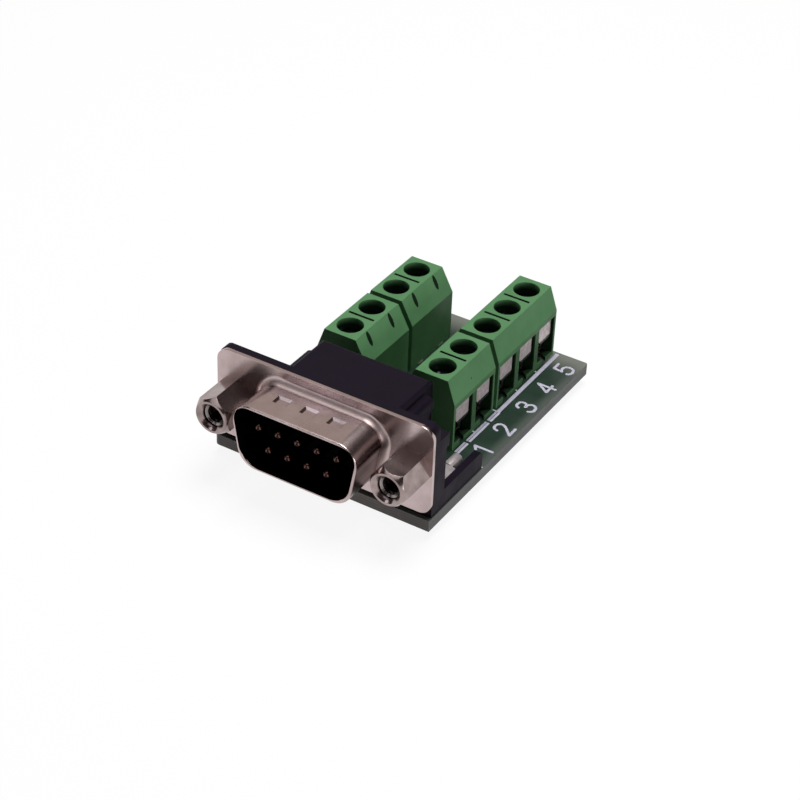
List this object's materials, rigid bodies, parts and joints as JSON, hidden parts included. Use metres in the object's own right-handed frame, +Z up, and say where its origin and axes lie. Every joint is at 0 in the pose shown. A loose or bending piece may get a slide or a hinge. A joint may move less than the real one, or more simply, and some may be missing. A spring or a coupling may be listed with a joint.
{
  "type": "d-sub terminal block adapter",
  "caption": "D-shaped plug connector on a small board that breaks each contact out to a screw terminal for bare wires.",
  "frame": {"origin": "on the plug's centre line, in the front plane of its flange", "axes": "+X to the right seen from the mating side, +Y from the flange towards the rear of the board, +Z up, away from the board"},
  "size_m": [0.0314, 0.0463, 0.0161],
  "materials": {
    "board": "green solder mask over glass fibre, satin",
    "shell_metal": "nickel plated, smooth",
    "screwlock_metal": "nickel plated, turned",
    "strap_metal": "tin plated sheet",
    "insert_brass": "turned",
    "black_plastic": "moulded, fine satin",
    "pin_metal": "thin gold flash, smooth",
    "green_plastic": "moulded, satin",
    "clamp_metal": "zinc plated",
    "cage_metal": "nickel plated",
    "tinned_metal": "tin plated, satin",
    "solder": "bright solder"
  },
  "bodies": {
    "adapter": {"circuit_board": "board", "plug_shell": "shell_metal", "connector_body": "black_plastic", "screwlock_left": "screwlock_metal", "screwlock_right": "screwlock_metal", "threaded_insert_left": "insert_brass", "threaded_insert_right": "insert_brass", "ground_strap_left": "strap_metal", "ground_strap_right": "strap_metal", "solder_joints": "solder", "terminal_housing_front_right": "green_plastic", "terminal_housing_rear_right": "green_plastic", "terminal_housing_front_left": "green_plastic", "terminal_housing_rear_left": "green_plastic", "contact_pin_1": "pin_metal", "terminal_contact_1": "tinned_metal", "contact_pin_2": "pin_metal", "terminal_contact_2": "tinned_metal", "contact_pin_3": "pin_metal", "terminal_contact_3": "tinned_metal", "contact_pin_4": "pin_metal", "terminal_contact_4": "tinned_metal", "contact_pin_5": "pin_metal", "terminal_contact_5": "tinned_metal", "contact_pin_6": "pin_metal", "terminal_contact_6": "tinned_metal", "contact_pin_7": "pin_metal", "terminal_contact_7": "tinned_metal", "contact_pin_8": "pin_metal", "terminal_contact_8": "tinned_metal", "contact_pin_9": "pin_metal", "terminal_contact_9": "tinned_metal"},
    "clamp_screw_1": {"clamp_screw_1": "clamp_metal"},
    "clamp_screw_2": {"clamp_screw_2": "clamp_metal"},
    "clamp_screw_3": {"clamp_screw_3": "clamp_metal"},
    "clamp_screw_4": {"clamp_screw_4": "clamp_metal"},
    "clamp_screw_5": {"clamp_screw_5": "clamp_metal"},
    "clamp_screw_6": {"clamp_screw_6": "clamp_metal"},
    "clamp_screw_7": {"clamp_screw_7": "clamp_metal"},
    "clamp_screw_8": {"clamp_screw_8": "clamp_metal"},
    "clamp_screw_9": {"clamp_screw_9": "clamp_metal"},
    "wire_cage_1": {"wire_cage_1": "cage_metal"},
    "wire_cage_2": {"wire_cage_2": "cage_metal"},
    "wire_cage_3": {"wire_cage_3": "cage_metal"},
    "wire_cage_4": {"wire_cage_4": "cage_metal"},
    "wire_cage_5": {"wire_cage_5": "cage_metal"},
    "wire_cage_6": {"wire_cage_6": "cage_metal"},
    "wire_cage_7": {"wire_cage_7": "cage_metal"},
    "wire_cage_8": {"wire_cage_8": "cage_metal"},
    "wire_cage_9": {"wire_cage_9": "cage_metal"}
  },
  "joints": [
    {"name": "clamp_screw_1_turn", "type": "hinge", "parent": "adapter", "child": "clamp_screw_1", "pos_m": [0.0071, 0.01587, 0.00126], "axis": [0, 0, 1], "range_deg": [-1350.5, 0]},
    {"name": "wire_cage_1_lift", "type": "slide", "parent": "adapter", "child": "wire_cage_1", "axis": [0, 0, 1], "range_m": [0, 0.00187]},
    {"name": "clamp_screw_2_turn", "type": "hinge", "parent": "adapter", "child": "clamp_screw_2", "pos_m": [0.0071, 0.02095, 0.00126], "axis": [0, 0, 1], "range_deg": [-1350.5, 0]},
    {"name": "wire_cage_2_lift", "type": "slide", "parent": "adapter", "child": "wire_cage_2", "axis": [0, 0, 1], "range_m": [0, 0.00187]},
    {"name": "clamp_screw_3_turn", "type": "hinge", "parent": "adapter", "child": "clamp_screw_3", "pos_m": [0.0071, 0.02675, 0.00126], "axis": [0, 0, 1], "range_deg": [-1350.5, 0]},
    {"name": "wire_cage_3_lift", "type": "slide", "parent": "adapter", "child": "wire_cage_3", "axis": [0, 0, 1], "range_m": [0, 0.00187]},
    {"name": "clamp_screw_4_turn", "type": "hinge", "parent": "adapter", "child": "clamp_screw_4", "pos_m": [0.0071, 0.03183, 0.00126], "axis": [0, 0, 1], "range_deg": [-1350.5, 0]},
    {"name": "wire_cage_4_lift", "type": "slide", "parent": "adapter", "child": "wire_cage_4", "axis": [0, 0, 1], "range_m": [0, 0.00187]},
    {"name": "clamp_screw_5_turn", "type": "hinge", "parent": "adapter", "child": "clamp_screw_5", "pos_m": [0.0071, 0.03691, 0.00126], "axis": [0, 0, 1], "range_deg": [-1350.5, 0]},
    {"name": "wire_cage_5_lift", "type": "slide", "parent": "adapter", "child": "wire_cage_5", "axis": [0, 0, 1], "range_m": [0, 0.00187]},
    {"name": "clamp_screw_6_turn", "type": "hinge", "parent": "adapter", "child": "clamp_screw_6", "pos_m": [-0.0071, 0.01692, 0.00126], "axis": [0, 0, 1], "range_deg": [-1350.5, 0]},
    {"name": "wire_cage_6_lift", "type": "slide", "parent": "adapter", "child": "wire_cage_6", "axis": [0, 0, 1], "range_m": [0, 0.00187]},
    {"name": "clamp_screw_7_turn", "type": "hinge", "parent": "adapter", "child": "clamp_screw_7", "pos_m": [-0.0071, 0.022, 0.00126], "axis": [0, 0, 1], "range_deg": [-1350.5, 0]},
    {"name": "wire_cage_7_lift", "type": "slide", "parent": "adapter", "child": "wire_cage_7", "axis": [0, 0, 1], "range_m": [0, 0.00187]},
    {"name": "clamp_screw_8_turn", "type": "hinge", "parent": "adapter", "child": "clamp_screw_8", "pos_m": [-0.0071, 0.0278, 0.00126], "axis": [0, 0, 1], "range_deg": [-1350.5, 0]},
    {"name": "wire_cage_8_lift", "type": "slide", "parent": "adapter", "child": "wire_cage_8", "axis": [0, 0, 1], "range_m": [0, 0.00187]},
    {"name": "clamp_screw_9_turn", "type": "hinge", "parent": "adapter", "child": "clamp_screw_9", "pos_m": [-0.0071, 0.03288, 0.00126], "axis": [0, 0, 1], "range_deg": [-1350.5, 0]},
    {"name": "wire_cage_9_lift", "type": "slide", "parent": "adapter", "child": "wire_cage_9", "axis": [0, 0, 1], "range_m": [0, 0.00187]}
  ],
  "couplings": [
    {"joint": "clamp_screw_1_turn", "follows": "wire_cage_1_lift", "rad_per_m": -12566},
    {"joint": "clamp_screw_2_turn", "follows": "wire_cage_2_lift", "rad_per_m": -12566},
    {"joint": "clamp_screw_3_turn", "follows": "wire_cage_3_lift", "rad_per_m": -12566},
    {"joint": "clamp_screw_4_turn", "follows": "wire_cage_4_lift", "rad_per_m": -12566},
    {"joint": "clamp_screw_5_turn", "follows": "wire_cage_5_lift", "rad_per_m": -12566},
    {"joint": "clamp_screw_6_turn", "follows": "wire_cage_6_lift", "rad_per_m": -12566},
    {"joint": "clamp_screw_7_turn", "follows": "wire_cage_7_lift", "rad_per_m": -12566},
    {"joint": "clamp_screw_8_turn", "follows": "wire_cage_8_lift", "rad_per_m": -12566},
    {"joint": "clamp_screw_9_turn", "follows": "wire_cage_9_lift", "rad_per_m": -12566}
  ]
}
